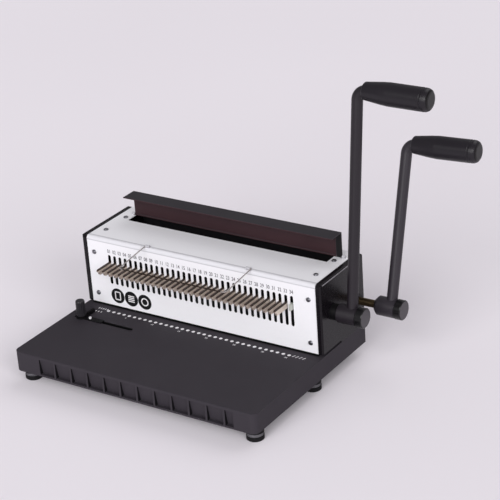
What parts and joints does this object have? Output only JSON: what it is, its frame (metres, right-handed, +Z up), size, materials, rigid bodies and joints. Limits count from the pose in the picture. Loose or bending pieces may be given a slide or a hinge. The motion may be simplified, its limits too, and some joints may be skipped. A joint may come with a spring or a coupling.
{
  "type": "wire binding machine",
  "caption": "Desk machine that punches a row of square holes with a long lever, keyed by pull pins, and closes binding wire with a second lever.",
  "frame": {"origin": "on the table under the middle of the base, in the plane of the feet", "axes": "+X along the punching row towards the levers, +Y from the front apron to the rear, +Z up"},
  "size_m": [0.5163, 0.3115, 0.3881],
  "materials": {
    "base_paint": "fine textured dark grey paint",
    "sheet_black": "satin black paint",
    "foot_rubber": "matt",
    "cheek_paint": "semi-gloss black paint",
    "cover_white": "smooth off-white paint",
    "screw_steel": "bright plated",
    "tool_steel": "black oxide",
    "bush_steel": "black oxide",
    "lever_paint": "fine textured dark grey paint",
    "grip_foam": "matt foam",
    "shaft_zinc": "dark yellow zinc plate",
    "lid_black": "gloss black paint",
    "wire_steel": "drawn wire",
    "knob_plastic": "moulded",
    "tray_plastic": "moulded",
    "pin_nickel": "warm nickel plate"
  },
  "bodies": {
    "frame": {"base_deck": "base_paint", "bottom_plate": "sheet_black", "feet": "foot_rubber", "left_cheek": "cheek_paint", "right_cheek": "cheek_paint", "front_cover": "cover_white", "rear_cover": "sheet_black", "cover_screws": "screw_steel", "die_plate": "tool_steel", "punch_guide": "tool_steel", "return_springs": "tool_steel", "shaft_bushes": "bush_steel", "closer_anvil": "tool_steel"},
    "punch_lever": {"punch_shaft": "tool_steel", "punch_lever": "lever_paint", "punch_lever_grip": "grip_foam"},
    "closer_lever": {"closer_shaft": "shaft_zinc", "closer_lever": "lever_paint", "closer_lever_grip": "grip_foam"},
    "lid": {"lid": "lid_black"},
    "wire_holder": {"wire_holder": "wire_steel"},
    "edge_guide": {"edge_guide": "sheet_black"},
    "guide_knob": {"guide_knob": "knob_plastic"},
    "chip_tray": {"chip_tray": "tray_plastic"},
    "punch_beam": {"punch_beam": "tool_steel", "punches": "tool_steel"},
    "closer_jaw": {"closer_jaw": "tool_steel"},
    "pull_pin_01": {"pull_pin_01": "pin_nickel"},
    "pull_pin_02": {"pull_pin_02": "pin_nickel"},
    "pull_pin_03": {"pull_pin_03": "pin_nickel"},
    "pull_pin_04": {"pull_pin_04": "pin_nickel"},
    "pull_pin_05": {"pull_pin_05": "pin_nickel"},
    "pull_pin_06": {"pull_pin_06": "pin_nickel"},
    "pull_pin_07": {"pull_pin_07": "pin_nickel"},
    "pull_pin_08": {"pull_pin_08": "pin_nickel"},
    "pull_pin_09": {"pull_pin_09": "pin_nickel"},
    "pull_pin_10": {"pull_pin_10": "pin_nickel"},
    "pull_pin_11": {"pull_pin_11": "pin_nickel"},
    "pull_pin_12": {"pull_pin_12": "pin_nickel"},
    "pull_pin_13": {"pull_pin_13": "pin_nickel"},
    "pull_pin_14": {"pull_pin_14": "pin_nickel"},
    "pull_pin_15": {"pull_pin_15": "pin_nickel"},
    "pull_pin_16": {"pull_pin_16": "pin_nickel"},
    "pull_pin_17": {"pull_pin_17": "pin_nickel"},
    "pull_pin_18": {"pull_pin_18": "pin_nickel"},
    "pull_pin_19": {"pull_pin_19": "pin_nickel"},
    "pull_pin_20": {"pull_pin_20": "pin_nickel"},
    "pull_pin_21": {"pull_pin_21": "pin_nickel"},
    "pull_pin_22": {"pull_pin_22": "pin_nickel"},
    "pull_pin_23": {"pull_pin_23": "pin_nickel"},
    "pull_pin_24": {"pull_pin_24": "pin_nickel"},
    "pull_pin_25": {"pull_pin_25": "pin_nickel"},
    "pull_pin_26": {"pull_pin_26": "pin_nickel"},
    "pull_pin_27": {"pull_pin_27": "pin_nickel"},
    "pull_pin_28": {"pull_pin_28": "pin_nickel"},
    "pull_pin_29": {"pull_pin_29": "pin_nickel"},
    "pull_pin_30": {"pull_pin_30": "pin_nickel"},
    "pull_pin_31": {"pull_pin_31": "pin_nickel"},
    "pull_pin_32": {"pull_pin_32": "pin_nickel"},
    "pull_pin_33": {"pull_pin_33": "pin_nickel"}
  },
  "joints": [
    {"name": "punch_lever_swing", "type": "hinge", "parent": "frame", "child": "punch_lever", "pos_m": [0.185, 0.055, 0.094], "axis": [1, 0, 0], "range_deg": [0, 90], "stiffness_Nm_per_rad": 0.6, "springref_deg": -28.65},
    {"name": "closer_lever_swing", "type": "hinge", "parent": "frame", "child": "closer_lever", "pos_m": [0.21, 0.113, 0.083], "axis": [1, 0, 0], "range_deg": [0, 75]},
    {"name": "lid_fold", "type": "hinge", "parent": "frame", "child": "lid", "pos_m": [0, 0.109, 0.1418], "axis": [1, 0, 0], "range_deg": [0, 56]},
    {"name": "wire_holder_swing", "type": "hinge", "parent": "frame", "child": "wire_holder", "pos_m": [0, 0.03086, 0.14138], "axis": [1, 0, 0], "range_deg": [-100, 26]},
    {"name": "edge_guide_slide", "type": "slide", "parent": "frame", "child": "edge_guide", "axis": [1, 0, 0], "range_m": [0, 0.06]},
    {"name": "guide_knob_turn", "type": "hinge", "parent": "edge_guide", "child": "guide_knob", "pos_m": [-0.1605, -0.0165, 0.05], "axis": [0, 0, 1], "range_deg": [0, 270]},
    {"name": "chip_tray_slide", "type": "slide", "parent": "frame", "child": "chip_tray", "axis": [-1, 0, 0], "range_m": [0, 0.25]},
    {"name": "punch_beam_slide", "type": "slide", "parent": "frame", "child": "punch_beam", "axis": [0, 0, -1], "range_m": [0, 0.0142], "deforming": ["return_springs"]},
    {"name": "closer_jaw_slide", "type": "slide", "parent": "frame", "child": "closer_jaw", "axis": [0, -1, 0], "range_m": [0, 0.0081]},
    {"name": "pin_pull_01", "type": "slide", "parent": "punch_beam", "child": "pull_pin_01", "axis": [0, -1, 0], "range_m": [0, 0.012]},
    {"name": "pin_pull_02", "type": "slide", "parent": "punch_beam", "child": "pull_pin_02", "axis": [0, -1, 0], "range_m": [0, 0.012]},
    {"name": "pin_pull_03", "type": "slide", "parent": "punch_beam", "child": "pull_pin_03", "axis": [0, -1, 0], "range_m": [0, 0.012]},
    {"name": "pin_pull_04", "type": "slide", "parent": "punch_beam", "child": "pull_pin_04", "axis": [0, -1, 0], "range_m": [0, 0.012]},
    {"name": "pin_pull_05", "type": "slide", "parent": "punch_beam", "child": "pull_pin_05", "axis": [0, -1, 0], "range_m": [0, 0.012]},
    {"name": "pin_pull_06", "type": "slide", "parent": "punch_beam", "child": "pull_pin_06", "axis": [0, -1, 0], "range_m": [0, 0.012]},
    {"name": "pin_pull_07", "type": "slide", "parent": "punch_beam", "child": "pull_pin_07", "axis": [0, -1, 0], "range_m": [0, 0.012]},
    {"name": "pin_pull_08", "type": "slide", "parent": "punch_beam", "child": "pull_pin_08", "axis": [0, -1, 0], "range_m": [0, 0.012]},
    {"name": "pin_pull_09", "type": "slide", "parent": "punch_beam", "child": "pull_pin_09", "axis": [0, -1, 0], "range_m": [0, 0.012]},
    {"name": "pin_pull_10", "type": "slide", "parent": "punch_beam", "child": "pull_pin_10", "axis": [0, -1, 0], "range_m": [0, 0.012]},
    {"name": "pin_pull_11", "type": "slide", "parent": "punch_beam", "child": "pull_pin_11", "axis": [0, -1, 0], "range_m": [0, 0.012]},
    {"name": "pin_pull_12", "type": "slide", "parent": "punch_beam", "child": "pull_pin_12", "axis": [0, -1, 0], "range_m": [0, 0.012]},
    {"name": "pin_pull_13", "type": "slide", "parent": "punch_beam", "child": "pull_pin_13", "axis": [0, -1, 0], "range_m": [0, 0.012]},
    {"name": "pin_pull_14", "type": "slide", "parent": "punch_beam", "child": "pull_pin_14", "axis": [0, -1, 0], "range_m": [0, 0.012]},
    {"name": "pin_pull_15", "type": "slide", "parent": "punch_beam", "child": "pull_pin_15", "axis": [0, -1, 0], "range_m": [0, 0.012]},
    {"name": "pin_pull_16", "type": "slide", "parent": "punch_beam", "child": "pull_pin_16", "axis": [0, -1, 0], "range_m": [0, 0.012]},
    {"name": "pin_pull_17", "type": "slide", "parent": "punch_beam", "child": "pull_pin_17", "axis": [0, -1, 0], "range_m": [0, 0.012]},
    {"name": "pin_pull_18", "type": "slide", "parent": "punch_beam", "child": "pull_pin_18", "axis": [0, -1, 0], "range_m": [0, 0.012]},
    {"name": "pin_pull_19", "type": "slide", "parent": "punch_beam", "child": "pull_pin_19", "axis": [0, -1, 0], "range_m": [0, 0.012]},
    {"name": "pin_pull_20", "type": "slide", "parent": "punch_beam", "child": "pull_pin_20", "axis": [0, -1, 0], "range_m": [0, 0.012]},
    {"name": "pin_pull_21", "type": "slide", "parent": "punch_beam", "child": "pull_pin_21", "axis": [0, -1, 0], "range_m": [0, 0.012]},
    {"name": "pin_pull_22", "type": "slide", "parent": "punch_beam", "child": "pull_pin_22", "axis": [0, -1, 0], "range_m": [0, 0.012]},
    {"name": "pin_pull_23", "type": "slide", "parent": "punch_beam", "child": "pull_pin_23", "axis": [0, -1, 0], "range_m": [0, 0.012]},
    {"name": "pin_pull_24", "type": "slide", "parent": "punch_beam", "child": "pull_pin_24", "axis": [0, -1, 0], "range_m": [0, 0.012]},
    {"name": "pin_pull_25", "type": "slide", "parent": "punch_beam", "child": "pull_pin_25", "axis": [0, -1, 0], "range_m": [0, 0.012]},
    {"name": "pin_pull_26", "type": "slide", "parent": "punch_beam", "child": "pull_pin_26", "axis": [0, -1, 0], "range_m": [0, 0.012]},
    {"name": "pin_pull_27", "type": "slide", "parent": "punch_beam", "child": "pull_pin_27", "axis": [0, -1, 0], "range_m": [0, 0.012]},
    {"name": "pin_pull_28", "type": "slide", "parent": "punch_beam", "child": "pull_pin_28", "axis": [0, -1, 0], "range_m": [0, 0.012]},
    {"name": "pin_pull_29", "type": "slide", "parent": "punch_beam", "child": "pull_pin_29", "axis": [0, -1, 0], "range_m": [0, 0.012]},
    {"name": "pin_pull_30", "type": "slide", "parent": "punch_beam", "child": "pull_pin_30", "axis": [0, -1, 0], "range_m": [0, 0.012]},
    {"name": "pin_pull_31", "type": "slide", "parent": "punch_beam", "child": "pull_pin_31", "axis": [0, -1, 0], "range_m": [0, 0.012]},
    {"name": "pin_pull_32", "type": "slide", "parent": "punch_beam", "child": "pull_pin_32", "axis": [0, -1, 0], "range_m": [0, 0.012]},
    {"name": "pin_pull_33", "type": "slide", "parent": "punch_beam", "child": "pull_pin_33", "axis": [0, -1, 0], "range_m": [0, 0.012]}
  ],
  "couplings": [
    {"joint": "punch_beam_slide", "follows": "punch_lever_swing", "m_per_rad": 0.0089131},
    {"joint": "closer_jaw_slide", "follows": "closer_lever_swing", "m_per_rad": 0.0060458}
  ]
}
